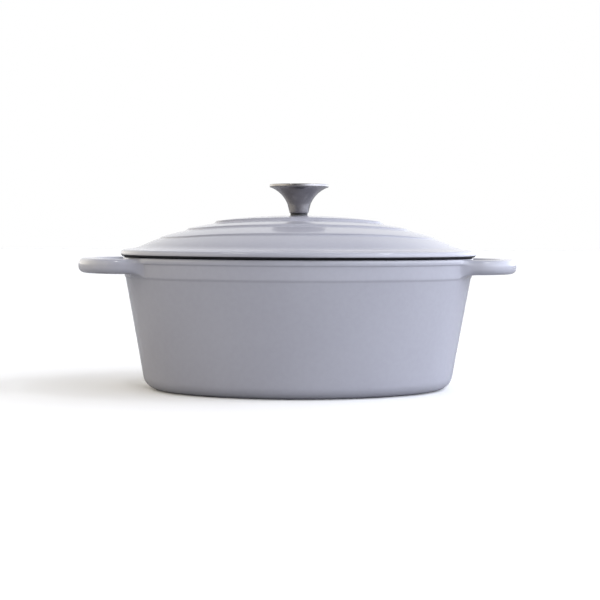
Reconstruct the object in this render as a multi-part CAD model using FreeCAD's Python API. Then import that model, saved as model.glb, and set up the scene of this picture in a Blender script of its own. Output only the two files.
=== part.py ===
import FreeCAD, Part
import math
import os
from FreeCAD import Vector

os.makedirs("parts", exist_ok=True)

# In millimetres. The origin is at the centre of the base, +X runs from handle to handle and +Z is up.
# The plan is a family of parallel four-arc ovals. "Reach" is an oval's half-length, and the ovals share their
# four arc centres, so walls are cones and fillets are tori.

# Plan, taken at the lid's rim
lid_length = 290.4
lid_width = 226.4
end_fullness = 0.86  # radius of the rim's end arcs over its half-width

# Pot
pot_height = 107.5
rim_inset = 2.0  # the pot's rim stands this far inside the lid's
wall_draft = 10.0  # degrees, outside
inner_draft = 9.3
wall_thickness = 4.2  # at the foot of the wall
base_thickness = 5.0
base_fillet = 12.0
inner_fillet = 14.0
collar_height = 16.5  # thicker band under the rim
collar_draft = 4.0
collar_step = 0.8
rim_bead = 5.0  # height of the rounded bead at the rim's outer edge
bead_depth = 0.5
rim_round = 2.0
rim_inner_round = 1.4
rim_bare = 0.6  # bare iron from the rim down, outside
rim_bare_inside = 3.0

# Enamel
coat = 0.4
base_wrap = 12.0  # the wall's coat ends this far in from the foot of the wall

# Loop handles
handle_projection = 34.0  # past the lid's rim
handle_width = 108.0
handle_bar = 15.5
handle_thickness = 11.8
handle_drop = 1.4  # its top face below the rim
handle_round = 4.6
handle_corner = 36.0
handle_root = 5.0  # the loop's centre stands this far inside the rim

# Lid
lid_gap = 0.3  # seat clearance
edge_chamfer = 1.4
flange_edge = 5.0  # height of the flange at its outer edge
flange_round = 2.6
flange_width = 13.5
flange_rise = 1.5
crown_height = 33.4  # top of the crown above the lid's seat
dome_rise = 41.0  # half-height of the crown's ellipsoid
inner_step = 2.0
outer_step = 1.3
inner_ring_inset = 76.7
outer_ring_inset = 53.9
step_draft = 30.0
step_bury = 4.0  # how far each ring's block reaches below its step
skirt_rise = 59.0  # half-height of the ellipsoid that makes the outer slope
skirt_spread = 1.215  # its half-length as a share of the crease's
crown_thickness = 6.0
underside_rise = 46.0
lip_depth = 4.0
lip_thickness = 4.0
lip_clearance = 1.2
lip_round = 1.2
lip_bare = 1.5  # bare iron from the lip's end up, inside
seat_flat = 0.1  # depth of the flats for the knob and its washers

# Knob and its screw
knob_height = 24.0
knob_radius = 24.2
knob_cap_thickness = 2.7
knob_cap_overhang = 0.9
knob_cap_round = 0.7
knob_foot_radius = 7.6
knob_foot_round = 1.4
knob_neck_radius = 9.4
knob_neck_height = 7.5
knob_waist_radius = 13.6
knob_waist_height = 7.0  # above the neck
knob_wall = 1.8
knob_floor = 11.5  # solid metal round the bush
spigot_depth = 1.2
spigot_inset = 2.8  # inside the stem's mouth
gasket_thickness = 1.6
gasket_radius = 7.0
screw_radius = 3.0
screw_hole_clearance = 0.5
screw_engagement = 8.0
thread_clearance = 0.05
bush_wall = 1.5
bush_length = 10.0
washer_radius = 7.0
washer_thickness = 1.2
washer_clearance = 0.25
lock_washer_radius = 5.4
lock_washer_thickness = 1.5
lock_washer_split = 1.2
screw_head_radius = 5.8
screw_head_height = 3.8
screw_head_round = 2.0
recess_width = 1.4
recess_length = 6.4
recess_depth = 1.8

# Places that several pieces share
lid_reach = lid_length / 2
rim_reach = lid_reach - rim_inset
collar_z = pot_height - collar_height
seat_z = pot_height + lid_gap
crown_z = seat_z + crown_height
knob_seat_z = crown_z - seat_flat
knob_foot_z = knob_seat_z + gasket_thickness
knob_top_z = knob_foot_z + knob_height
cap_z = knob_top_z - knob_cap_thickness
under_crown_z = crown_z - crown_thickness
lip_z = seat_z - lip_depth
washer_seat_z = under_crown_z - seat_flat
lock_washer_z = washer_seat_z - washer_thickness
screw_head_z = lock_washer_z - lock_washer_thickness
screw_hole_radius = screw_radius + screw_hole_clearance
bush_radius = screw_radius + thread_clearance + bush_wall
flare_radius = knob_radius - knob_cap_overhang
spigot_radius = flare_radius - knob_wall - spigot_inset
up = Vector(0, 0, 1)
margin = 10.0  # a cutter runs this far past what it cuts


def slope(degrees):
    return math.tan(math.radians(degrees))


def rounded_outline(points, closed=False):
    """A wire in the XZ plane through (x, z) or (x, z, corner radius) points."""
    spots = [Vector(p[0], 0, p[1]) for p in points]
    corners = []
    for i, spot in enumerate(spots):
        radius = points[i][2] if len(points[i]) > 2 else 0
        if not radius:
            corners.append((spot, None, spot))
            continue
        back = (spots[i - 1] - spot).normalize()
        ahead = (spots[(i + 1) % len(spots)] - spot).normalize()
        half = back.getAngle(ahead) / 2
        middle = (back + ahead).normalize()
        nearest = spot + middle * (radius / math.sin(half) - radius)
        run = radius / math.tan(half)
        corners.append((spot + back * run, nearest, spot + ahead * run))
    edges = []
    for i, (start, middle, end) in enumerate(corners):
        if middle:
            edges.append(Part.Arc(start, middle, end).toShape())
        if closed or i + 1 < len(corners):
            following = corners[(i + 1) % len(corners)][0]
            if end.distanceToPoint(following) > 1e-6:
                edges.append(Part.LineSegment(end, following).toShape())
    return edges


class Oval:
    """Parallel four-arc ovals about (x, 0), turned about Z."""

    def __init__(self, half_length, half_width, end_radius, x=0.0, turn=0.0):
        spread = half_length**2 + half_width**2 - 2 * half_length * end_radius
        side_radius = spread / (2 * (half_width - end_radius))
        end_offset = half_length - end_radius
        side_offset = side_radius - half_width
        half_side = math.degrees(math.atan2(end_offset, side_offset))
        half_end = 90 - half_side
        self.reach = half_length
        self.place = FreeCAD.Placement(Vector(x, 0, 0), FreeCAD.Rotation(up, turn))
        self.arcs = [
            (Vector(end_offset, 0, 0), end_radius, -half_end, 2 * half_end),
            (Vector(0, -side_offset, 0), side_radius, half_end, 2 * half_side),
            (Vector(-end_offset, 0, 0), end_radius, 180 - half_end, 2 * half_end),
            (Vector(0, side_offset, 0), side_radius, 180 + half_end, 2 * half_side),
        ]

    def cap(self, reach, z):
        edges = []
        for centre, radius, start, sweep in self.arcs:
            circle = Part.Circle(centre + up * z, up, radius - self.reach + reach)
            edges.append(circle.toShape(math.radians(start), math.radians(start + sweep)))
        return Part.Face(Part.Wire(edges))

    def walls(self, edges):
        """The faces that outline edges, in (reach, z), sweep round the oval."""
        faces = []
        for centre, radius, start, sweep in self.arcs:
            for edge in edges:
                swept = edge.copy()
                swept.translate(Vector(radius - self.reach, 0, 0))
                swept.rotate(Vector(), up, start)
                swept.translate(centre)
                faces += swept.revolve(centre, up, sweep).Faces
        return faces

    def closed(self, faces):
        shell = Part.makeShell(faces)
        shell.sewShape()
        solid = Part.makeSolid(shell)
        if solid.Volume < 0:
            solid.reverse()
        solid.Placement = self.place
        return solid

    def solid(self, points):
        """The solid inside an outline that starts on its lowest flat face and ends on its highest one."""
        edges = rounded_outline(points)[1:-1]
        low = edges[0].firstVertex(True).Point
        high = edges[-1].lastVertex(True).Point
        return self.closed(self.walls(edges) + [self.cap(low.x, low.z), self.cap(high.x, high.z)])

    def ring(self, points):
        """The solid that a closed outline sweeps round the oval."""
        return self.closed(self.walls(rounded_outline(points, closed=True)))

    def prism(self, reach, low, high):
        block = self.cap(reach, low).extrude(up * (high - low))
        block.Placement = self.place
        return block


def turned(edges):
    return Part.Face(Part.Wire(edges)).revolve(Vector(), up, 360)


def lathe(points):
    """The solid that a closed (radius, z) outline turns about the Z axis."""
    return turned(rounded_outline(points, closed=True))


def cylinder(radius, low, high):
    return Part.makeCylinder(radius, high - low, Vector(0, 0, low))


def washer(outer, inner, low, high):
    return cylinder(outer, low, high).cut(cylinder(inner, low, high))


plan = Oval(lid_reach, lid_width / 2, end_fullness * lid_width / 2)
screw_hole = cylinder(screw_hole_radius, screw_head_z - margin, knob_foot_z)


# Pot


def wall_reach(z):
    """Half-length of the pot's tapered outside below the collar."""
    top = rim_reach - collar_height * slope(collar_draft) - collar_step
    return top - (collar_z - z) * slope(wall_draft)


def inner_reach(z):
    """Half-length of the cavity, enamelled."""
    return wall_reach(base_thickness) - wall_thickness + (z - base_thickness) * slope(inner_draft)


def above(z):
    return Part.makeCylinder(lid_length, lid_length, Vector(0, 0, z))


def below(z):
    return Part.makeCylinder(lid_length, lid_length, Vector(0, 0, z - lid_length))


def pot_block(skin):
    """The pot's outside without handles, with a skin taken off it."""
    bead_z = pot_height - rim_bead
    band_reach = rim_reach - collar_height * slope(collar_draft)
    groove_reach = rim_reach - bead_depth - (rim_bead + bead_depth) * slope(collar_draft)
    return plan.solid(
        [
            (0, skin),
            (wall_reach(skin) - skin, skin, base_fillet - skin),
            (wall_reach(collar_z - collar_step) - skin, collar_z - collar_step),
            (band_reach - skin, collar_z + collar_step),
            (groove_reach - skin, bead_z - bead_depth),
            (rim_reach - skin, bead_z + bead_depth),
            (rim_reach - skin, pot_height, rim_round - skin),
            (0, pot_height),
        ]
    )


def handle_loop(side, skin):
    """An oval ring of rounded bar. Its inner half is buried in the pot."""
    root = rim_reach - handle_root
    depth = lid_reach + handle_projection - root
    loop = Oval(handle_width / 2, depth, handle_corner, side * root, 90)
    outer = handle_width / 2 - skin
    inner = handle_width / 2 - handle_bar + skin
    high = pot_height - handle_drop - skin
    low = high - handle_thickness + 2 * skin
    round_off = handle_round - skin
    corners = [(outer, low), (outer, high), (inner, high), (inner, low)]
    return loop.ring([(x, z, round_off) for x, z in corners])


def pot_outside(skin):
    return pot_block(skin).fuse([handle_loop(side, skin) for side in (1, -1)])


def pot_space(skin):
    """The cavity, with a skin of enamel added to it."""
    floor_z = base_thickness - skin
    reach = inner_reach(pot_height) + skin
    return plan.solid(
        [
            (0, floor_z),
            (inner_reach(floor_z) + skin, floor_z, inner_fillet + skin),
            (reach, pot_height, rim_inner_round),
            (rim_reach, pot_height),
            (rim_reach, pot_height + margin),
            (0, pot_height + margin),
        ]
    )


outside = pot_outside(0)
space = pot_space(0)
iron_outside = pot_outside(coat).fuse(outside.common(above(pot_height - rim_bare)))
iron_space = space.fuse(pot_space(coat).common(below(pot_height - rim_bare_inside)))
base_disc = plan.prism(wall_reach(0) - base_wrap, 0, coat)
pot_casting = iron_outside.cut(iron_space)
pot_outer_enamel = outside.cut(iron_outside.fuse(base_disc))
pot_inner_enamel = iron_space.cut(space)


# Lid

lip_reach = inner_reach(pot_height) - lip_clearance


def dome(half_length, half_width, half_height, top, floor):
    """Half an ellipsoid, cut off at the floor."""
    ball = Part.makeSphere(1)
    stretch = FreeCAD.Matrix()
    stretch.scale(half_length, half_width, half_height)
    stretch.move(Vector(0, 0, top - half_height))
    corner = Vector(-2 * half_length, -2 * half_width, floor)
    keep = Part.makeBox(4 * half_length, 4 * half_width, half_height, corner)
    return ball.transformGeometry(stretch).common(keep)


def crown_dome(drop, skin):
    return dome(lid_reach, lid_width / 2, dome_rise, crown_z - drop - skin, seat_z + edge_chamfer)


def step_block(inset, drop, skin):
    """A drafted block whose side is the riser of a ring, at the level the dome has there."""
    reach = lid_reach - inset
    riser_z = crown_z - drop - dome_rise * (1 - math.sqrt(1 - (reach / lid_reach) ** 2))
    foot_z = riser_z - step_bury
    foot_reach = reach + step_bury * slope(step_draft) - skin
    top_reach = foot_reach - (crown_z - foot_z) * slope(step_draft)
    return plan.solid([(0, foot_z), (foot_reach, foot_z), (top_reach, crown_z), (0, crown_z)])


def lid_outside(skin):
    """Rim flange, outer slope and the crown's three levels, with a skin taken off the top and the edge."""
    crease_z = seat_z + flange_edge + flange_rise
    crease_reach = lid_reach - flange_width
    edge_z = seat_z + edge_chamfer
    flange = plan.solid(
        [
            (0, seat_z),
            (lid_reach - edge_chamfer - skin, seat_z),
            (lid_reach - skin, edge_z),
            (lid_reach - skin, seat_z + flange_edge - skin, flange_round),
            (crease_reach, crease_z - skin),
            (0, crease_z - skin),
        ]
    )
    skirt_reach = crease_reach * skirt_spread
    skirt_width = (lid_width / 2 - flange_width) * skirt_spread
    skirt_top = crease_z + skirt_rise * (1 - math.sqrt(1 - 1 / skirt_spread**2)) - skin
    skirt = dome(skirt_reach, skirt_width, skirt_rise, skirt_top, edge_z)
    body = skirt.common(crown_dome(inner_step + outer_step, skin))
    outer_ring = step_block(outer_ring_inset, inner_step + outer_step / 2, skin)
    inner_ring = step_block(inner_ring_inset, inner_step / 2, skin)
    middle = crown_dome(inner_step, skin).common(outer_ring)
    top = crown_dome(0, skin).common(inner_ring)
    return flange.fuse([body, middle, top])


def lid_lip():
    """Block inside the pot's rim that keeps the lid in place."""
    top_z = seat_z + edge_chamfer
    return plan.solid([(0, lip_z), (lip_reach, lip_z, lip_round), (lip_reach, top_z), (0, top_z)])


def lid_space(skin):
    """The hollow under the crown, with a skin of enamel added to it."""
    floor_z = lip_z - seat_flat
    sides = plan.prism(lip_reach - lip_thickness + skin, floor_z, washer_seat_z + skin)
    under_z = under_crown_z + skin
    return dome(lid_reach, lid_width / 2, underside_rise, under_z, floor_z - seat_flat).common(sides)


lid_cover = lid_outside(0).common(below(knob_seat_z))
lid_hollow = lid_space(0)
lid_iron = lid_outside(coat).common(below(knob_seat_z - coat))
lid_iron = lid_iron.fuse(lid_cover.common(below(seat_z + edge_chamfer)))
lid_iron_hollow = lid_hollow.fuse(lid_space(coat).common(above(lip_z + lip_bare)))
lid_casting = lid_iron.fuse(lid_lip()).cut([lid_iron_hollow, screw_hole])
lid_outer_enamel = lid_cover.cut([lid_iron, screw_hole])
lid_inner_enamel = lid_iron_hollow.cut([lid_hollow, screw_hole])


# Knob and its screw


def line(start, end):
    return Part.LineSegment(Vector(start[0], 0, start[1]), Vector(end[0], 0, end[1])).toShape()


def flare(wall):
    """Edge of the flare from the top of the neck out to the disc, moved in by a wall."""
    neck_z = knob_foot_z + knob_neck_height
    points = [
        (knob_neck_radius - wall, neck_z),
        (knob_waist_radius - wall, neck_z + knob_waist_height),
        (flare_radius - wall, cap_z),
    ]
    return Part.Arc(*[Vector(x, 0, z) for x, z in points]).toShape()


def knob_stem():
    """Flared stem, solid round the bush and hollow above it."""
    neck_z = knob_foot_z + knob_neck_height
    foot = rounded_outline(
        [(0, knob_foot_z), (knob_foot_radius, knob_foot_z, knob_foot_round), (knob_neck_radius, neck_z)]
    )
    top = line((flare_radius, cap_z), (0, cap_z))
    outside = turned(foot + [flare(0), top, line((0, cap_z), (0, knob_foot_z))])
    throat = (knob_neck_radius - knob_wall, neck_z)
    mouth = (flare_radius - knob_wall, cap_z)
    funnel = turned(
        [line((0, neck_z), throat), flare(knob_wall), line(mouth, (0, cap_z)), line((0, cap_z), (0, neck_z))]
    )
    hollow = funnel.common(cylinder(knob_radius, knob_foot_z + knob_floor, cap_z))
    return outside.cut([hollow, cylinder(bush_radius, knob_foot_z, knob_foot_z + bush_length)])


def knob_disc():
    """Disc that closes the stem, with a spigot in the stem's mouth."""
    edge = [(knob_radius, z, knob_cap_round) for z in (cap_z, knob_top_z)]
    disc = lathe([(0, cap_z)] + edge + [(0, knob_top_z)])
    return disc.fuse(cylinder(spigot_radius, cap_z - spigot_depth, cap_z))


def screw():
    """Pan-head screw with a cross recess."""
    low = screw_head_z - screw_head_height
    rim = [(screw_head_radius, low, screw_head_round), (screw_head_radius, screw_head_z)]
    head = lathe([(0, low)] + rim + [(0, screw_head_z)])
    shank = cylinder(screw_radius, screw_head_z, knob_foot_z + screw_engagement)
    slots = [
        Part.makeBox(x, y, recess_depth, Vector(-x / 2, -y / 2, low))
        for x, y in ((recess_length, recess_width), (recess_width, recess_length))
    ]
    return head.fuse(shank).cut(slots)


def split_washer():
    body = washer(lock_washer_radius, screw_radius + washer_clearance, screw_head_z, lock_washer_z)
    corner = Vector(0, -lock_washer_split / 2, screw_head_z)
    return body.cut(Part.makeBox(lock_washer_radius, lock_washer_split, lock_washer_thickness, corner))


nodes = {
    "pot_casting": pot_casting,
    "pot_outer_enamel": pot_outer_enamel,
    "pot_base_enamel": base_disc,
    "pot_inner_enamel": pot_inner_enamel,
    "lid_casting": lid_casting,
    "lid_outer_enamel": lid_outer_enamel,
    "lid_inner_enamel": lid_inner_enamel,
    "knob_body": knob_stem(),
    "knob_cap": knob_disc(),
    "knob_bush": washer(bush_radius, screw_radius + thread_clearance, knob_foot_z, knob_foot_z + bush_length),
    "knob_gasket": washer(gasket_radius, screw_hole_radius, knob_seat_z, knob_foot_z),
    "knob_screw": screw(),
    "screw_flat_washer": washer(washer_radius, screw_radius + washer_clearance, lock_washer_z, washer_seat_z),
    "screw_lock_washer": split_washer(),
}
for name, shape in nodes.items():
    shape.exportStep("parts/" + name + ".step")
    print(name, shape.isValid(), len(shape.Solids), round(shape.Volume, 1))
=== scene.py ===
import math
import bmesh
import bpy
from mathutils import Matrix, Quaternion, Vector


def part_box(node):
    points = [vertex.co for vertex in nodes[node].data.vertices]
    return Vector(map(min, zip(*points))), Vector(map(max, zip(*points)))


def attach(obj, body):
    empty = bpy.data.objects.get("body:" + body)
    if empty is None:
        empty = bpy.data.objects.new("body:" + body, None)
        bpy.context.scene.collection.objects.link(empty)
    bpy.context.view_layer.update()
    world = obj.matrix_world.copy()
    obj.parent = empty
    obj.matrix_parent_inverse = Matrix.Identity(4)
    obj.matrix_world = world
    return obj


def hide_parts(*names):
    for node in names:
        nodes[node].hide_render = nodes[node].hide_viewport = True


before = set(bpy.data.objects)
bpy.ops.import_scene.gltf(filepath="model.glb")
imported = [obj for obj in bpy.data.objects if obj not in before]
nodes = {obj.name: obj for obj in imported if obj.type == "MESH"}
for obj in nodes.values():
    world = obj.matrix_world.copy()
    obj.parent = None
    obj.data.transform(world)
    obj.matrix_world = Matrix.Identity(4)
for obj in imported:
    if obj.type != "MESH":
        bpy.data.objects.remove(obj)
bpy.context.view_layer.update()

mm = 0.001
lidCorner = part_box("lid_outer_enamel")[1] / mm
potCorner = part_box("pot_outer_enamel")[1] / mm
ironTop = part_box("pot_casting")[1].z / mm
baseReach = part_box("pot_base_enamel")[1].x / mm
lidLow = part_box("lid_outer_enamel")[0].z / mm
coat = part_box("pot_base_enamel")[1].z
print("frame loaded")

# The plan is a family of parallel ovals, each of two end arcs and two side arcs.
# Reach is an oval's half-length.
plan = {
    "reach": lidCorner.x,
    "halfWidth": lidCorner.y,
    "endFullness": 0.86,      # end arcs' radius over the half-width
    "endSteps": 72,
    "sideSteps": 48,
}


def ovalArcs(reach, halfWidth, endRadius, endSteps, sideSteps):
    sideRadius = (reach**2 + halfWidth**2 - 2 * reach * endRadius) / (2 * (halfWidth - endRadius))
    endOffset, sideOffset = reach - endRadius, sideRadius - halfWidth
    halfSide = math.atan2(endOffset, sideOffset)
    halfEnd = math.pi / 2 - halfSide
    return [
        (Vector((endOffset, 0, 0)), endRadius, -halfEnd, 2 * halfEnd, endSteps),
        (Vector((0, -sideOffset, 0)), sideRadius, halfEnd, 2 * halfSide, sideSteps),
        (Vector((-endOffset, 0, 0)), endRadius, math.pi - halfEnd, 2 * halfEnd, endSteps),
        (Vector((0, sideOffset, 0)), sideRadius, math.pi + halfEnd, 2 * halfSide, sideSteps),
    ]


planEnd = plan["endFullness"] * plan["halfWidth"]
potPlan = ovalArcs(plan["reach"], plan["halfWidth"], planEnd, plan["endSteps"], plan["sideSteps"])


def reachAt(x, y):
    end, endRadius, endStart = potPlan[0][:3]
    side, sideRadius = potPlan[1][:2]
    x, y = abs(x), abs(y)
    if math.atan2(y, x - end.x) <= -endStart:
        return plan["reach"] + math.hypot(x - end.x, y) - endRadius
    return plan["reach"] + math.hypot(x, y - side.y) - sideRadius


# Drawing and shaping


def rotated(vector, angle):
    across = vector.x * math.cos(angle) - vector.y * math.sin(angle)
    up = vector.x * math.sin(angle) + vector.y * math.cos(angle)
    return Vector((across, up))


def roundCorners(corners):
    points = []
    for i, corner in enumerate(corners):
        spot = Vector(corner[:2])
        if len(corner) < 3:
            points.append(spot)
            continue
        radius, steps = corner[2], corner[3]
        back = (Vector(corners[i - 1][:2]) - spot).normalized()
        ahead = (Vector(corners[(i + 1) % len(corners)][:2]) - spot).normalized()
        half = back.angle(ahead) / 2
        centre = spot + (back + ahead).normalized() * radius / math.sin(half)
        first = spot + back * radius / math.tan(half) - centre
        last = spot + ahead * radius / math.tan(half) - centre
        turn = first.angle_signed(last)
        for k in range(steps + 1):
            points.append(centre + rotated(first, -turn * k / steps))
    return points


def rows(points, spacing, low=-1e9, high=1e9):
    out = points[:1]
    for here, there in zip(points, points[1:]):
        middle = (here.y + there.y) / 2
        count = max(1, round((there - here).length / spacing)) if low < middle < high else 1
        out += [here.lerp(there, k / count) for k in range(1, count + 1)]
    return out


def select(piece):
    if bpy.context.object and bpy.context.object.mode == "EDIT":
        bpy.ops.object.mode_set(mode="OBJECT")
    bpy.ops.object.select_all(action="DESELECT")
    bpy.context.view_layer.objects.active = piece
    piece.select_set(True)


def drawLine(name, points):
    if bpy.context.object and bpy.context.object.mode == "EDIT":
        bpy.ops.object.mode_set(mode="OBJECT")
    bpy.ops.object.select_all(action="DESELECT")
    bpy.ops.mesh.primitive_plane_add(size=mm, location=(0, 0, 0))
    piece = bpy.context.object
    piece.name = piece.data.name = name
    bpy.ops.object.mode_set(mode="EDIT")
    bpy.ops.mesh.select_all(action="SELECT")
    bpy.ops.mesh.merge(type="CENTER")
    bpy.ops.transform.translate(value=points[0] * mm)
    for here, there in zip(points, points[1:]):
        bpy.ops.mesh.extrude_region_move(TRANSFORM_OT_translate={"value": (there - here) * mm})
    bpy.ops.mesh.select_all(action="SELECT")
    bpy.ops.mesh.remove_doubles(threshold=0.01 * mm)
    return piece


def spinAlong(arcs):
    for centre, radius, start, sweep, steps in arcs:
        bpy.ops.mesh.spin(steps=steps, angle=-sweep, center=centre * mm, axis=(0, 0, 1))


def onStart(arc, reach, points):
    centre, radius, start, sweep, steps = arc
    across = Vector((math.cos(start), math.sin(start), 0))
    return [centre + across * (radius + p.x - reach) + Vector((0, 0, p.y)) for p in points]


def tidy(piece):
    select(piece)
    bpy.ops.object.mode_set(mode="EDIT")
    bpy.ops.mesh.select_all(action="SELECT")
    bpy.ops.mesh.remove_doubles(threshold=0.01 * mm)
    bpy.ops.mesh.normals_make_consistent(inside=False)
    bpy.ops.object.mode_set(mode="OBJECT")
    if sum(face.center.dot(face.normal) * face.area for face in piece.data.polygons) < 0:
        bpy.ops.object.mode_set(mode="EDIT")
        bpy.ops.mesh.flip_normals()
        bpy.ops.object.mode_set(mode="OBJECT")


def thicken(piece, thickness):
    select(piece)
    bpy.ops.object.modifier_add(type="SOLIDIFY")
    wall = piece.modifiers[-1]
    wall.thickness, wall.offset = thickness, -1
    bpy.ops.object.modifier_apply(modifier=wall.name)


def smooth(piece, degrees=40):
    select(piece)
    bpy.ops.object.shade_smooth_by_angle(angle=math.radians(degrees))


def edgeMiddle(edge):
    return (edge.verts[0].co + edge.verts[1].co) / (2 * mm)


def pickLoose(piece, test):
    mesh = bmesh.from_edit_mesh(piece.data)
    bpy.ops.mesh.select_all(action="DESELECT")
    picked = 0
    for edge in mesh.edges:
        if len(edge.link_faces) < 2 and test(edgeMiddle(edge)):
            edge.select_set(True)
            picked += 1
    bmesh.update_edit_mesh(piece.data)
    return picked


def cutFaces(piece, test):
    mesh = bmesh.from_edit_mesh(piece.data)
    bpy.ops.mesh.select_all(action="DESELECT")
    for face in mesh.faces:
        if test(face.calc_center_median() / mm):
            face.select_set(True)
    bmesh.update_edit_mesh(piece.data)
    bpy.ops.mesh.delete(type="FACE")


# Stores a per-vertex mask that darkens the glaze: part thinning coat, part painted shade on knees and edges
def paintThinAndShade(piece, amount):
    thinAndShade = piece.data.attributes.new("thinAndShade", "FLOAT", "POINT")
    for vertex in piece.data.vertices:
        thinAndShade.data[vertex.index].value = amount(vertex.co / mm)


def softMin(a, b, blend):
    return min(a, b) - max(blend - abs(a - b), 0) ** 2 / (4 * blend)


def softMax(a, b, blend):
    return -softMin(-a, -b, blend)


def ramp(value, start, end):
    return min(max((value - start) / (end - start), 0), 1)


# Pot: the enamelled outside with its two loop handles

pot = {
    "baseWrap": 12.0,         # the wall's coat ends this far in from its foot
    "footRound": 12.0,
    "footSteps": 10,
    "draft": 10.0,            # degrees
    "collarBottom": 91.0,
    "collarDraft": 4.0,
    "collarStep": 0.8,
    "stepRound": 2.0,
    "rimInset": 2.0,
    "rimRound": 2.0,
    "rimAngles": (0, 12, 24, 34, 44.4),     # rows round the rim's edge
    "rootAngle": 24,          # the handles' roots reach up to this row
    "beadHeight": 5.0,
    "beadDepth": 0.5,
    "beadSlope": 0.4,
    "beadLowRound": 1.6,
    "beadRound": 1.4,
    "cornerSteps": 3,
    "rowSpacing": 4.0,
    "plainFrom": 8.0,         # the wall between these has no handle on it
    "plainTo": 86.0,
    "handleRows": 1.9,
    "rimThinShadeFrom": 1.9,          # painted shade, with the coat thinning, darkens the glaze towards the rim from this far below it
    "rimThinShadeFull": 0.7,
}
handle = {
    "halfWidth": 54.0,
    "bar": 15.5,
    "thickness": 11.8,
    "drop": 1.4,              # its top below the rim
    "cornerRadius": 36.0,
    "round": 4.6,
    "root": 5.0,              # the loop's centre line stands this far inside the rim
    "rootInside": 33.5,       # the blend into the wall, across the pot
    "rootOutside": 56.5,
    "rootBottom": 89.4,
    "topMargin": 0.05,
    "looseAbove": 50.0,       # loose edges above this belong to the roots' holes
    "blendCuts": 8,
    "rootFlow": 0.55,         # how strongly the blend follows the wall and the bar
    "cornerSteps": 14,
    "tipSteps": 26,
    "barCuts": 24,            # steps round each corner of the bar
}
rimReach = plan["reach"] - pot["rimInset"]


def potProfile():
    collarReach = rimReach - (ironTop - pot["collarBottom"]) * math.tan(math.radians(pot["collarDraft"]))
    footReach = baseReach + pot["baseWrap"]
    step, bead = pot["collarStep"], ironTop - pot["beadHeight"]
    wallTop = pot["collarBottom"] - step
    wallReach = footReach + wallTop * math.tan(math.radians(pot["draft"]))
    beadReach = rimReach - pot["beadDepth"] - pot["beadSlope"]
    cuts = pot["cornerSteps"]
    points = roundCorners(
        [
            (baseReach, 0),
            (footReach, 0, pot["footRound"], pot["footSteps"]),
            (wallReach, wallTop, pot["stepRound"], cuts),
            (collarReach, pot["collarBottom"] + step, pot["stepRound"], cuts),
            (beadReach, bead - pot["beadDepth"], pot["beadLowRound"], cuts),
            (rimReach, bead + pot["beadDepth"], pot["beadRound"], cuts),
            (rimReach, ironTop),
        ]
    )[:-1]
    centre = Vector((rimReach - pot["rimRound"], ironTop - pot["rimRound"]))
    points += [centre + rotated(Vector((pot["rimRound"], 0)), math.radians(a)) for a in pot["rimAngles"]]
    points = rows(points, pot["rowSpacing"], pot["plainFrom"], pot["plainTo"])
    return rows(points, pot["handleRows"], pot["plainTo"])


def handleArcs():
    radius, cuts = handle["cornerRadius"], handle["cornerSteps"]
    centreX = rimReach - handle["root"]
    arcs = ovalArcs(handle["halfWidth"], potCorner.x - centreX, radius, cuts, handle["tipSteps"])
    quarter, whole = arcs[0], arcs[1]
    corner, side = quarter[0].x, -whole[0].y
    halfTip, halfCorner = whole[3] / 2, quarter[3] / 2
    return centreX, [
        (Vector((centreX, -corner, 0)), radius, -math.pi / 2, halfCorner, cuts),
        (Vector((centreX - side, 0, 0)), whole[1], halfCorner - math.pi / 2, 2 * halfTip, handle["tipSteps"]),
        (Vector((centreX, corner, 0)), radius, math.pi / 2 - halfCorner, halfCorner, cuts),
    ]


def handleSection(count):
    high, out = ironTop - handle["drop"], handle["halfWidth"]
    low, inner = high - handle["thickness"], out - handle["bar"]
    corners = [(out, low), (out, high), (inner, high), (inner, low)]
    ring = roundCorners([corner + (handle["round"], handle["barCuts"]) for corner in corners])
    ring.append(ring[0])
    lengths = [(b - a).length for a, b in zip(ring, ring[1:])]
    total, start = sum(lengths), handle["barCuts"] / 2 * lengths[0]
    spots = []
    for i in range(count):
        aim = (start + total * i / count) % total
        walked, k = 0.0, 0
        while walked + lengths[k] < aim:
            walked += lengths[k]
            k += 1
        spots.append(ring[k].lerp(ring[k + 1], (aim - walked) / lengths[k]))
    return spots + spots[:1]


def walkLoop(mesh, test):
    left = {edge for edge in mesh.edges if edge.is_boundary and test(edgeMiddle(edge))}
    edge = left.pop()
    loop = list(edge.verts)
    while left:
        ahead = next(e for e in loop[-1].link_edges if e in left)
        left.remove(ahead)
        loop.append(ahead.other_vert(loop[-1]))
    return loop[:-1] if loop[-1] == loop[0] else loop


def matched(ring, spots):
    def strain(turned):
        return sum((v.co.yz - p.yz).length_squared for v, p in zip(ring, turned))

    tries = []
    for order in (spots, spots[::-1]):
        tries += [order[k:] + order[:k] for k in range(len(order))]
    return min(tries, key=strain)


def flowCurve(vertex, spot, top):
    gap = spot - vertex.co
    aside = gap - vertex.normal * gap.dot(vertex.normal)
    leave = aside.normalized() * gap.yz.length * handle["rootFlow"]
    if vertex.co.z > top * mm - mm:
        leave.z = max(leave.z, 0)
    arrive = Vector((-gap.x * handle["rootFlow"], 0, 0))
    return vertex.co.copy(), vertex.co + leave, spot + arrive, spot


def alongCurve(curve, t):
    a, b, c, d = curve
    return a * (1 - t) ** 3 + b * 3 * t * (1 - t) ** 2 + c * 3 * t * t * (1 - t) + d * t**3


def extrudeRing(piece, mesh, ring):
    bpy.ops.mesh.select_all(action="DESELECT")
    for a, b in zip(ring, ring[1:] + ring[:1]):
        mesh.edges.get((a, b)).select_set(True)
    bmesh.update_edit_mesh(piece.data)
    marks = [vertex.index for vertex in ring]
    bpy.ops.mesh.extrude_region_move()
    mesh = bmesh.from_edit_mesh(piece.data)
    mesh.verts.ensure_lookup_table()
    old = [mesh.verts[mark] for mark in marks]
    ring = [next(e.other_vert(v) for e in v.link_edges if e.other_vert(v).select) for v in old]
    return mesh, ring


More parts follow.
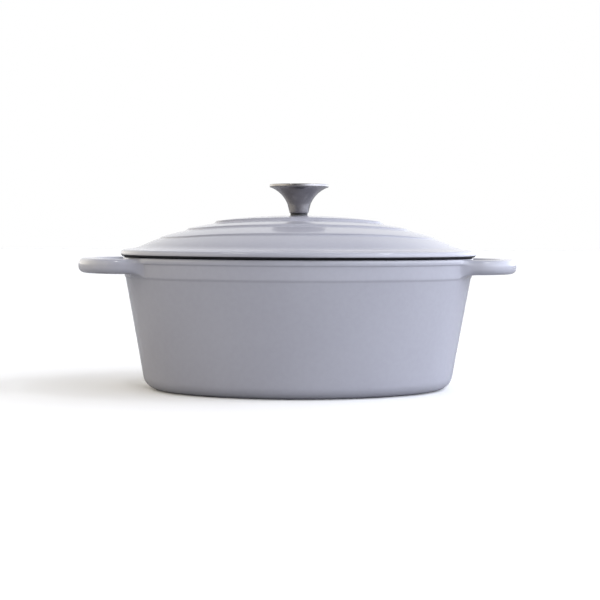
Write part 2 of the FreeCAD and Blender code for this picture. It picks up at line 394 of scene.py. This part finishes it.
def flowRoots(piece, section, centreX, top):
    select(piece)
    bpy.ops.object.mode_set(mode="EDIT")
    cuts = handle["blendCuts"]
    for side in (1, -1):
        for end in (1, -1):
            mesh = bmesh.from_edit_mesh(piece.data)
            ring = walkLoop(
                mesh, lambda c: c.x * side > 0 and c.y * end > 0 and handle["looseAbove"] < c.z < top
            )
            spots = [Vector((side * centreX, end * p.x, p.y)) * mm for p in section[:-1]]
            curves = [flowCurve(vertex, spot, top) for vertex, spot in zip(ring, matched(ring, spots))]
            for k in range(1, cuts + 1):
                mesh, ring = extrudeRing(piece, mesh, ring)
                for vertex, curve in zip(ring, curves):
                    vertex.co = alongCurve(curve, k / cuts)
                bmesh.update_edit_mesh(piece.data)
    bpy.ops.object.mode_set(mode="OBJECT")


def buildPot():
    piece = drawLine("potOuterEnamel", onStart(potPlan[0], plan["reach"], potProfile()))
    spinAlong(potPlan)
    tidy(piece)
    bpy.ops.object.mode_set(mode="EDIT")
    rootLift = pot["rimRound"] * math.sin(math.radians(pot["rootAngle"]))
    top = ironTop - pot["rimRound"] + rootLift + handle["topMargin"]
    inside, outside, bottom = handle["rootInside"], handle["rootOutside"], handle["rootBottom"]
    cutFaces(piece, lambda c: inside < abs(c.y) < outside and bottom < c.z < top)
    count = pickLoose(piece, lambda c: c.x > 0 and c.y > 0 and handle["looseAbove"] < c.z < top)
    print("handle root edges", count)

    centreX, arcs = handleArcs()
    section = handleSection(count)
    loops = []
    for side in (1, -1):
        loop = drawLine("handle", onStart(arcs[0], handle["halfWidth"], section))
        spinAlong(arcs)
        if side < 0:
            bpy.ops.mesh.select_all(action="SELECT")
            bpy.ops.transform.resize(value=(-1, 1, 1), center_override=(0, 0, 0))
        bpy.ops.object.mode_set(mode="OBJECT")
        loops.append(loop)
    flowRoots(piece, section, centreX, top)
    select(piece)
    for loop in loops:
        loop.select_set(True)
    bpy.ops.object.join()
    tidy(piece)
    thicken(piece, coat)
    smooth(piece, 50)

    # painted shade at the rim under the lid's gap, with the coat thinning there
    def rimThinAndShade(p):
        if reachAt(p.x, p.y) > rimReach + 1:
            return 0
        return ramp(p.z, ironTop - pot["rimThinShadeFrom"], ironTop - pot["rimThinShadeFull"])

    paintThinAndShade(piece, rimThinAndShade)
    return piece


potEnamel = buildPot()
print("pot modelled")


# Lid: the enamelled top

lid = {
    "seatGap": 0.3,
    "flangeEdge": 5.0,
    "flangeRound": 2.6,
    "flangeWidth": 13.5,
    "flangeRise": 1.5,
    "crownHeight": 33.4,
    "domeRise": 41.0,
    "skirtRise": 59.0,
    "skirtSpread": 1.215,
    "rings": [                # reach, drop above the riser, drop below it
        (68.5, 0.0, 2.0),
        (91.3, 2.0, 3.3),
        (113.0, 3.3, 3.9),
    ],
    "crownDrop": 3.3,         # drop of the slope outside the second ring
    "outerLift": 0.4,         # the outermost ring rises this much, from one reach to the next
    "liftFrom": 94.0,
    "liftTo": 113.0,
    "dip": 0.2,               # and the slope outside it dips
    "dipFrom": 128.0,
    "dipTo": 114.0,
    "riserDraft": 30.0,
    "kneeRound": 1.2,
    "footRound": 2.0,
    "outerFootRound": 0.8,
    "creaseRound": 2.4,
    "innerReach": 62.0,
    "boreRadius": 3.5,
    "knobFlat": 0.1,
    "middleRows": 34,
    "kneeThinShadeBelow": 3.0,         # painted shade, with the coat thinning, darkens the knees down to this far below them
    "kneeThinShadeDepth": 4.0,
    # painted shade of the gap, with the coat thinning, darkens the lid's lowest edge over this height
    "edgeThinShade": 0.8,
    "edgeSpacing": 1.5,
    "kneeSpacing": 0.42,
    "kneeNear": 2.4,
    "kneeAside": 0.6,
    "creaseSpacing": 0.8,
    "creaseNear": 3.0,
    "slopeSpacing": 1.5,
    "bridgeMargin": 3.0,
    "flangeTop": 6.0,
}
seat = ironTop + lid["seatGap"]
crownTop = seat + lid["crownHeight"]
creaseReach = plan["reach"] - lid["flangeWidth"]
creaseHeight = seat + lid["flangeEdge"] + lid["flangeRise"]


def fall(x, y, halfLength, halfWidth, rise):
    return rise * (1 - math.sqrt(max(1 - (x / halfLength) ** 2 - (y / halfWidth) ** 2, 0)))


def lidTop(x, y):
    reach = reachAt(x, y)
    spread, drop = lid["skirtSpread"], lid["crownDrop"]
    crown = crownTop - fall(x, y, plan["reach"], plan["halfWidth"], lid["domeRise"])
    skirtLength = creaseReach * spread
    skirtWidth = (plan["halfWidth"] - lid["flangeWidth"]) * spread
    skirtTop = creaseHeight + fall(creaseReach, 0, skirtLength, 1, lid["skirtRise"])
    skirt = skirtTop - fall(x, y, skirtLength, skirtWidth, lid["skirtRise"])
    lift = lid["outerLift"] * ramp(reach, lid["liftFrom"], lid["liftTo"])
    dip = lid["dip"] * ramp(reach, lid["dipFrom"], lid["dipTo"])
    height = min(skirt, crown - drop) - dip
    thinAndShade = 0
    for ringReach, above, below in reversed(lid["rings"]):
        outermost = above >= drop
        level = crown - above + (lift if outermost else 0)
        riser = crownTop - (above + below) / 2 - fall(ringReach, 0, plan["reach"], 1, lid["domeRise"])
        if outermost:
            riser += lid["outerLift"]
        side = riser + (ringReach - reach) / math.tan(math.radians(lid["riserDraft"]))
        block = softMin(level, side, lid["kneeRound"])
        # painted shade along each knee, standing for the dark line the knee reflects, with the coat thinning
        # there
        if side > height - lid["kneeThinShadeBelow"]:
            thinAndShade = max(thinAndShade, lid["kneeThinShadeDepth"] * (min(level, side) - block) / lid["kneeRound"])
        height = softMax(height, block, lid["outerFootRound"] if outermost else lid["footRound"])
    flange = creaseHeight - lid["flangeRise"] * ramp(reach, creaseReach, plan["reach"])
    height = softMax(height, flange, lid["creaseRound"])
    return min(height, crownTop - lid["knobFlat"]), thinAndShade


def lidSpacing(reach):
    near = min(abs(reach - lid["kneeAside"] - ring[0]) for ring in lid["rings"])
    if near < lid["kneeNear"]:
        return lid["kneeSpacing"]
    return lid["creaseSpacing"] if reach > creaseReach - lid["creaseNear"] else lid["slopeSpacing"]


# Painted shade on the knees and on the lid's lowest edge at the gap, part thinning coat
def lidThinAndShade(p):
    knees = lidTop(p.x, p.y)[1] if p.z > seat + lid["flangeTop"] else 0
    return max(knees, ramp(p.z, lidLow + lid["edgeThinShade"], lidLow))


def buildLid():
    edgeTop = seat + lid["flangeEdge"]
    points = roundCorners(
        [
            (plan["reach"], lidLow),
            (plan["reach"], edgeTop, lid["flangeRound"], 10),
            (creaseReach, creaseHeight),
        ]
    )[:-1]
    edgeReach = points[-1].x
    reach = edgeReach - lid["creaseSpacing"]
    while reach > lid["innerReach"]:
        points.append(Vector((reach, creaseHeight)))
        reach -= lidSpacing(reach)
    points = rows(points, lid["edgeSpacing"], high=edgeTop - lid["flangeRound"])
    piece = drawLine("lidOuterEnamel", onStart(potPlan[0], plan["reach"], points))
    spinAlong(potPlan)
    tidy(piece)
    bpy.ops.object.mode_set(mode="EDIT")
    bpy.ops.mesh.select_all(action="DESELECT")
    bpy.ops.mesh.primitive_circle_add(
        vertices=2 * (plan["endSteps"] + plan["sideSteps"]),
        radius=lid["boreRadius"] * mm,
        location=(0, 0, creaseHeight * mm),
        rotation=(0, 0, 0),
    )
    pickLoose(piece, lambda c: math.hypot(c.x, c.y) < lid["innerReach"] + lid["bridgeMargin"])
    bpy.ops.mesh.bridge_edge_loops(number_cuts=lid["middleRows"], interpolation="LINEAR")
    bpy.ops.object.mode_set(mode="OBJECT")
    for vertex in piece.data.vertices:
        x, y, z = vertex.co / mm
        if reachAt(x, y) < edgeReach + 0.01:
            vertex.co.z = lidTop(x, y)[0] * mm
    tidy(piece)
    thicken(piece, coat)
    smooth(piece, 50)
    paintThinAndShade(piece, lidThinAndShade)
    return piece


lidEnamel = buildLid()
print("lid modelled")


# Knob: turned stem and its disc

knob = {
    "footRadius": 7.6,
    "footRound": 1.4,
    "neckRadius": 9.4,
    "neckHeight": 7.5,
    "waistRadius": 13.6,
    "waistHeight": 14.5,
    "overhang": 0.9,
    "discRound": 0.8,
    "spigot": 1.2,
    "spigotInset": 4.6,
    "spigotRound": 0.4,
    "lip": 3.2,               # flat ring round the dish
    "lipFall": 0.02,
    "dishEdge": 5.0,
    "wall": 1.8,
    "throatExtra": 1.5,
    "shoulder": 4.6,          # widening of the hollow above its floor
    "shoulderHeight": 16.5,
    "floor": 11.5,
    "bore": 4.55,
    "dish": 0.25,             # hollow of the disc's top
    "steps": 128,
    "flareSteps": 26,
    "cornerSteps": 6,
    "footSpacing": 1.5,
}


def arcThrough(a, b, c, steps):
    aa, bb, cc = a.length_squared, b.length_squared, c.length_squared
    d = 2 * (a.x * (b.y - c.y) + b.x * (c.y - a.y) + c.x * (a.y - b.y))
    ux = (aa * (b.y - c.y) + bb * (c.y - a.y) + cc * (a.y - b.y)) / d
    uy = (aa * (c.x - b.x) + bb * (a.x - c.x) + cc * (b.x - a.x)) / d
    centre = Vector((ux, uy))
    first, last = a - centre, c - centre
    turn = -first.angle_signed(last)
    return [centre + rotated(first, turn * k / steps) for k in range(steps + 1)]


def turnPiece(name, points):
    piece = drawLine(name, [Vector((p.x, 0, p.y)) for p in points + points[:1]])
    bpy.ops.mesh.spin(steps=knob["steps"], angle=2 * math.pi, center=(0, 0, 0), axis=(0, 0, 1))
    tidy(piece)
    smooth(piece, 45)
    return piece


stemLow, stemHigh = (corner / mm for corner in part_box("knob_body"))
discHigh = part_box("knob_cap")[1] / mm


def buildStem():
    foot, top = stemLow.z, stemHigh.z
    neckZ = foot + knob["neckHeight"]
    flareRadius = discHigh.x - knob["overhang"]
    outside = arcThrough(
        Vector((knob["neckRadius"], neckZ)),
        Vector((knob["waistRadius"], foot + knob["waistHeight"])),
        Vector((flareRadius, top)),
        knob["flareSteps"],
    )
    mouth = flareRadius - knob["wall"]
    throat = knob["neckRadius"] - knob["wall"] + knob["throatExtra"]
    floorZ = foot + knob["floor"]
    corners = roundCorners(
        [
            (knob["bore"], foot),
            (knob["footRadius"], foot, knob["footRound"], knob["cornerSteps"]),
            (knob["neckRadius"], neckZ),
        ]
    )
    lower = rows(corners, knob["footSpacing"], foot + knob["footSpacing"])
    inside = [
        Vector((mouth, top)),
        Vector((throat + knob["shoulder"], foot + knob["shoulderHeight"])),
        Vector((throat, floorZ)),
        Vector((knob["bore"], floorZ)),
    ]
    return turnPiece("knobStem", lower + outside[1:] + inside)


def buildDisc():
    low, high, radius = stemHigh.z, discHigh.z, discHigh.x
    spigot = radius - knob["overhang"] - knob["spigotInset"]
    edge, cuts = knob["discRound"], knob["cornerSteps"]
    points = roundCorners(
        [
            (0, low - knob["spigot"]),
            (spigot, low - knob["spigot"], knob["spigotRound"], 3),
            (spigot, low),
            (radius, low, edge, cuts),
            (radius, high, edge, cuts),
            (radius - knob["lip"], high - knob["lipFall"]),
            (radius - knob["dishEdge"], high - knob["dish"]),
            (0, high - knob["dish"]),
        ]
    )
    return turnPiece("knobDisc", points)


stem = buildStem()
disc = buildDisc()
print("knob modelled")


# Finishes


class Wire:
    def __init__(self, finish, socket):
        self.finish, self.socket = finish, socket

    def maths(self, operation, a, b):
        return self.finish.node("ShaderNodeMath", {"operation": operation}, {0: a, 1: b})

    def __add__(self, other):
        return self.maths("ADD", self, other)

    def __mul__(self, other):
        return self.maths("MULTIPLY", self, other)

    def __sub__(self, other):
        return self.maths("SUBTRACT", self, other)

    def __pow__(self, other):
        return self.maths("POWER", self, other)


class Finish:
    def __init__(self, name, owner=None):
        self.material = owner or bpy.data.materials.new(name)
        self.material.use_nodes = True
        self.tree = self.material.node_tree
        self.tree.nodes.clear()
        self.place = self.node("ShaderNodeTexCoord", {}, {}, "Object")

    def node(self, kind, settings, inputs, output=0):
        made = self.tree.nodes.new(kind)
        for key, value in settings.items():
            setattr(made, key, value)
        for key, value in inputs.items():
            if isinstance(value, Wire):
                self.tree.links.new(value.socket, made.inputs[key])
            else:
                made.inputs[key].default_value = value
        return Wire(self, made.outputs[output]) if made.outputs else None

    def noise(self, scale, detail=2.0, rough=0.5, vector=None):
        inputs = {"Vector": vector or self.place, "Scale": scale, "Detail": detail, "Roughness": rough}
        return self.node("ShaderNodeTexNoise", {}, inputs)

    def contrast(self, value, low, high):
        return self.node("ShaderNodeMapRange", {}, {"Value": value, "From Min": low, "From Max": high})

    def mix(self, amount, a, b):
        return self.node("ShaderNodeMix", {"data_type": "RGBA"}, {0: amount, 6: a, 7: b}, 2)

    def bump(self, height, distance, strength=1.0):
        return self.node("ShaderNodeBump", {}, {"Height": height, "Distance": distance, "Strength": strength})

    def finish(self, **sockets):
        inputs = {key.replace("_", " "): value for key, value in sockets.items()}
        surface = self.node("ShaderNodeBsdfPrincipled", {}, inputs)
        self.node("ShaderNodeOutputMaterial", {}, {"Surface": surface})
        return self.material


glaze = {
    "deep": (0.372, 0.370, 0.420, 1),
    "light": (0.412, 0.411, 0.462, 1),
    # colour of the painted shade on knees and edges, part thinning coat
    "thinAndShade": (0.20, 0.20, 0.235, 1),
    "roughness": 0.13,
}


def glazeFinish(name, look):
    f = Finish(name)
    drift = f.contrast(f.noise(9, 3), 0.3, 0.7)                # slow change in the glaze's depth
    mottle = f.contrast(f.noise(260, 2), 0.35, 0.65)           # fine clouding
    thinAndShade = f.node("ShaderNodeAttribute", {"attribute_name": "thinAndShade"}, {}, "Fac")
    colour = f.mix(drift * 0.75 + mottle * 0.25, look["deep"], look["light"])
    # mixes in painted shade on knees and edges, part thinning coat
    colour = f.mix(thinAndShade * 0.62, colour, look["thinAndShade"])
    peel = f.noise(210, 1) * 0.7 + f.noise(520, 1) * 0.3       # orange peel of fired enamel
    pits = f.contrast(f.node("ShaderNodeTexVoronoi", {}, {"Vector": f.place, "Scale": 160.0}), 0.05, 0.0)
    height = peel - pits * 0.25
    rough = f.contrast(f.noise(34, 3), 0.2, 0.8) * 0.05 + look["roughness"]
    return f.finish(Base_Color=colour, Roughness=rough, Normal=f.bump(height, 0.00012, 0.35), IOR=1.52)


def ironFinish():
    f = Finish("blackIron")
    grain = f.noise(1400, 4, 0.7)
    scale = f.noise(160, 3)
    colour = f.mix(f.contrast(scale, 0.3, 0.7), (0.009, 0.009, 0.011, 1), (0.022, 0.022, 0.026, 1))
    rough = f.contrast(scale, 0.2, 0.8) * 0.18 + 0.42
    cast = f.bump(grain + scale * 0.6, 0.0002, 0.6)
    return f.finish(Base_Color=colour, Roughness=rough, Normal=cast, Specular_IOR_Level=0.2)


def creamFinish():
    f = Finish("creamEnamel")
    drift = f.contrast(f.noise(12, 3), 0.3, 0.7)
    specks = f.contrast(f.node("ShaderNodeTexVoronoi", {}, {"Vector": f.place, "Scale": 300.0}), 0.09, 0.04)
    fleck = specks * f.contrast(f.noise(40, 1), 0.55, 0.6)
    colour = f.mix(drift, (0.66, 0.62, 0.53, 1), (0.71, 0.67, 0.585, 1))
    colour = f.mix(fleck * 0.5, colour, (0.30, 0.24, 0.18, 1))
    peel = f.noise(190, 1)
    rough = drift * 0.05 + 0.12
    return f.finish(Base_Color=colour, Roughness=rough, Normal=f.bump(peel, 0.00012, 0.35), IOR=1.52)


def baseFinish():
    f = Finish("groundCoat")
    drift = f.contrast(f.noise(30, 4), 0.3, 0.7)
    specks = f.contrast(f.node("ShaderNodeTexVoronoi", {}, {"Vector": f.place, "Scale": 900.0}), 0.25, 0.1)
    colour = f.mix(drift, (0.030, 0.030, 0.034, 1), (0.052, 0.051, 0.056, 1))
    colour = f.mix(specks * 0.55, colour, (0.20, 0.20, 0.21, 1))
    rough = drift * 0.15 + 0.38
    return f.finish(Base_Color=colour, Roughness=rough, Normal=f.bump(f.noise(700, 3), 0.00015, 0.5))


def steelFinish(name, colour, roughness, lines):
    f = Finish(name)
    apart = f.node("ShaderNodeSeparateXYZ", {}, {0: f.place}, 0)
    x, y, z = (Wire(f, apart.socket.node.outputs[i]) for i in range(3))
    radius = (x * x + y * y) ** 0.5
    turned = f.node("ShaderNodeCombineXYZ", {}, {0: radius * lines, 1: z * lines, 2: 0.0})
    grooves = f.noise(1.0, 3, 0.7, turned)                     # fine turning lines round the axis
    smudge = f.contrast(f.noise(60, 3), 0.3, 0.75)
    dark = tuple(c * 0.86 for c in colour[:3]) + (1,)
    tone = f.mix(f.contrast(grooves, 0.3, 0.7), dark, colour)
    rough = grooves * 0.10 + smudge * 0.05 + roughness
    return f.finish(Base_Color=tone, Metallic=1.0, Roughness=rough, Normal=f.bump(grooves, 0.00004, 0.5))


def rubberFinish():
    f = Finish("gasketRubber")
    grain = f.noise(900, 3)
    colour = f.mix(grain, (0.012, 0.012, 0.013, 1), (0.028, 0.027, 0.028, 1))
    return f.finish(Base_Color=colour, Roughness=grain * 0.2 + 0.5, Normal=f.bump(grain, 0.0002, 0.5))


lavender = glazeFinish("lavenderEnamel", glaze)
knobSteel = steelFinish("turnedSteel", (0.29, 0.28, 0.285, 1), 0.15, 5200.0)
screwSteel = steelFinish("fastenerSteel", (0.58, 0.58, 0.59, 1), 0.24, 3000.0)
brass = steelFinish("bushBrass", (0.62, 0.46, 0.20, 1), 0.25, 3000.0)
iron = ironFinish()
cream = creamFinish()


def dress(piece, material):
    if not piece.material_slots:
        piece.data.materials.append(material)
    for place in piece.material_slots:
        place.material = material


for node, material in {
    "pot_casting": iron,
    "lid_casting": iron,
    "pot_base_enamel": baseFinish(),
    "pot_inner_enamel": cream,
    "lid_inner_enamel": cream,
    "knob_bush": brass,
    "knob_gasket": rubberFinish(),
    "knob_screw": screwSteel,
    "screw_flat_washer": screwSteel,
    "screw_lock_washer": screwSteel,
}.items():
    dress(nodes[node], material)

for piece, material, body, node, slot in [
    (potEnamel, lavender, "pot", "pot_outer_enamel", "outer_enamel"),
    (lidEnamel, lavender, "lid", "lid_outer_enamel", "outer_enamel"),
    (stem, knobSteel, "lid", "knob_body", "knob_steel"),
    (disc, knobSteel, "lid", "knob_cap", "knob_steel"),
]:
    dress(piece, material)
    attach(piece, body)
    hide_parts(node)
print("finishes on")


# Studio

studio = {
    "cameraDistance": 1.15,
    "cameraHeight": 0.1315,
    "cameraTurn": -3.5,       # degrees towards the left handle
    "aimHeight": 0.0718,
    "aimAside": 0.0012,
    "roll": 0.3,
    "lens": 84.0,
    "floorSize": 14.0,
    "floorBounce": (0.35, 0.35, 0.36, 1),      # the floor throws back less light than it shows
    "floorDeep": (0.95, 0.94, 0.93, 1),
    "floorLight": (0.96, 0.95, 0.94, 1),
    "cool": (0.94, 1.0, 1.14),
    "warm": (1.06, 1.0, 0.86),
    "white": (1.0, 1.0, 1.0),
    "glows": [                # direction, where it starts and is full, strength, tint
        ((0.97, -0.1, -0.15), 0.0, 0.95, 3.6, "cool"),
        ((0.6, -0.8, -0.1), 0.2, 0.95, 0.9, "white"),
        ((-0.97, 0.1, -0.15), 0.2, 0.95, 2.1, "warm"),
        ((0.0, 0.99, 0.12), 0.4, 0.95, 1.1, "white"),
    ],
    "boxDistance": 1.6,
    "boxAim": 0.1,            # height that the boxes face
    "boxes": [                # name, turn, height (degrees), width, tall, energy, colour
        ("boxLeft", -50, 58, 0.20, 0.06, 2.4, (1.0, 0.98, 0.96)),
        ("boxRight", 72, 56, 0.18, 0.06, 2.6, (0.96, 0.98, 1.0)),
    ],
}


def buildCamera():
    turn = math.radians(studio["cameraTurn"])
    back = Vector((math.sin(turn), -math.cos(turn), 0))
    side = Vector((math.cos(turn), math.sin(turn), 0))
    place = back * studio["cameraDistance"] + Vector((0, 0, studio["cameraHeight"]))
    aim = side * studio["aimAside"] + Vector((0, 0, studio["aimHeight"]))
    facing = (aim - place).to_track_quat("-Z", "Y") @ Quaternion((0, 0, 1), math.radians(studio["roll"]))
    bpy.ops.object.camera_add(location=place, rotation=facing.to_euler())
    camera = bpy.context.object
    camera.data.lens = studio["lens"]
    camera.data.sensor_width = 36
    bpy.context.scene.camera = camera


def softbox(name, turn, height, width, tall, energy, colour):
    turn, height = math.radians(turn), math.radians(height)
    across, back = math.sin(turn) * math.cos(height), -math.cos(turn) * math.cos(height)
    away = Vector((across, back, math.sin(height)))
    place = away * studio["boxDistance"] + Vector((0, 0, studio["boxAim"]))
    bpy.ops.object.light_add(type="AREA", location=place, rotation=away.to_track_quat("Z", "Y").to_euler())
    light = bpy.context.object
    light.name = name
    light.data.shape = "RECTANGLE"
    light.data.size, light.data.size_y = width, tall
    light.data.energy, light.data.color = energy, colour
    light.visible_camera = False


def buildWorld():
    world = bpy.data.worlds.new("studioLight")
    bpy.context.scene.world = world
    f = Finish("studioLight", world)
    place = f.node("ShaderNodeTexCoord", {}, {}, "Generated")

    def facing(direction, low, high):
        dot = f.node("ShaderNodeVectorMath", {"operation": "DOT_PRODUCT"}, {0: place, 1: direction}, "Value")
        limits = {"Value": dot, "From Min": low, "From Max": high}
        return f.node("ShaderNodeMapRange", {"interpolation_type": "SMOOTHSTEP"}, limits)

    light = None
    for way, low, high, strength, tint in studio["glows"]:
        colour = tuple(strength * c for c in studio[tint])
        glow = f.mix(facing(way, low, high), (0, 0, 0, 1), colour + (1,))
        light = glow if light is None else f.node("ShaderNodeVectorMath", {}, {0: light, 1: glow})
    seen = f.node("ShaderNodeLightPath", {}, {}, "Is Camera Ray")
    shown = f.node("ShaderNodeBackground", {}, {"Color": f.mix(seen, light, (1, 1, 1, 1))})
    f.node("ShaderNodeOutputWorld", {}, {"Surface": shown})


def buildFloor():
    bpy.ops.object.select_all(action="DESELECT")
    bpy.ops.mesh.primitive_plane_add(size=studio["floorSize"], location=(0, 0, 0))
    floor = bpy.context.object
    floor.name = "floor"
    f = Finish("paleFloor")
    seen = f.node("ShaderNodeLightPath", {}, {}, "Is Camera Ray")
    tone = f.mix(f.noise(3, 2), studio["floorDeep"], studio["floorLight"])
    tone = f.mix(seen, studio["floorBounce"], tone)
    dress(floor, f.finish(Base_Color=tone, Roughness=0.9))


buildCamera()
buildFloor()
buildWorld()
for box in studio["boxes"]:
    softbox(*box)
bpy.context.scene.view_settings.view_transform = "Standard"
print("studio ready")
